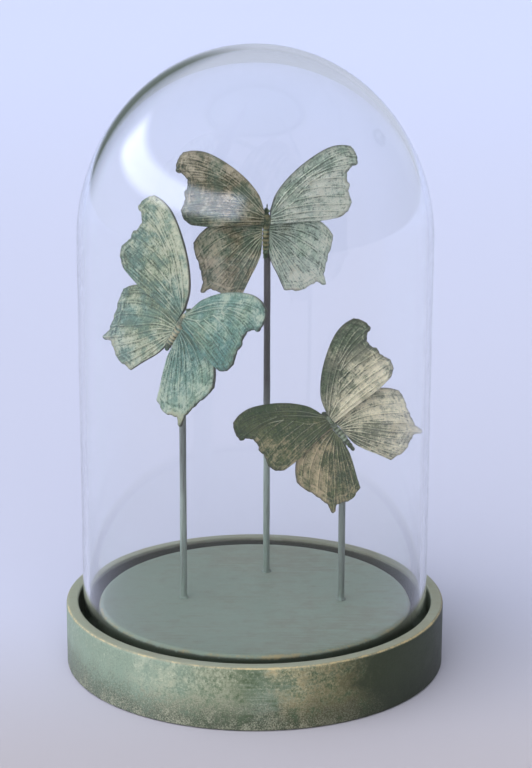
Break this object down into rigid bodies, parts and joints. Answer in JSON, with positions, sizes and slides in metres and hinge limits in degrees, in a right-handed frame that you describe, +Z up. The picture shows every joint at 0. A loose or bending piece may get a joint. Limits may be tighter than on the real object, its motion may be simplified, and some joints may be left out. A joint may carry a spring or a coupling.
{
  "type": "glass dome with cast butterflies",
  "caption": "Clear glass dome over cast butterflies that stand on thin rods in a round painted base with a ring groove.",
  "frame": {"origin": "centre of the base's flat underside", "axes": "+Z up along the dome's axis, -Y towards the front, +X to the right seen from the front"},
  "size_m": [0.19, 0.19, 0.31],
  "materials": {
    "painted_base": "matt sea green paint, dry-brushed with worn gold, darker towards the foot",
    "glass": "clear polished glass with a fire-rounded rim",
    "painted_rod": "sea green paint, brown-violet bronze where it is bare",
    "painted_casting": "sea green verdigris with gold dry-brushed over the raised veins"
  },
  "bodies": {
    "root": {"base": "painted_base", "glass_dome": "glass", "stem_top": "painted_rod", "stem_left": "painted_rod", "stem_right": "painted_rod", "butterfly_top_body": "painted_casting", "butterfly_top_forewing_left": "painted_casting", "butterfly_top_forewing_right": "painted_casting", "butterfly_top_hindwing_left": "painted_casting", "butterfly_top_hindwing_right": "painted_casting", "butterfly_left_body": "painted_casting", "butterfly_left_forewing_left": "painted_casting", "butterfly_left_forewing_right": "painted_casting", "butterfly_left_hindwing_left": "painted_casting", "butterfly_left_hindwing_right": "painted_casting", "butterfly_right_body": "painted_casting", "butterfly_right_forewing_left": "painted_casting", "butterfly_right_forewing_right": "painted_casting", "butterfly_right_hindwing_left": "painted_casting", "butterfly_right_hindwing_right": "painted_casting"}
  },
  "joints": []
}
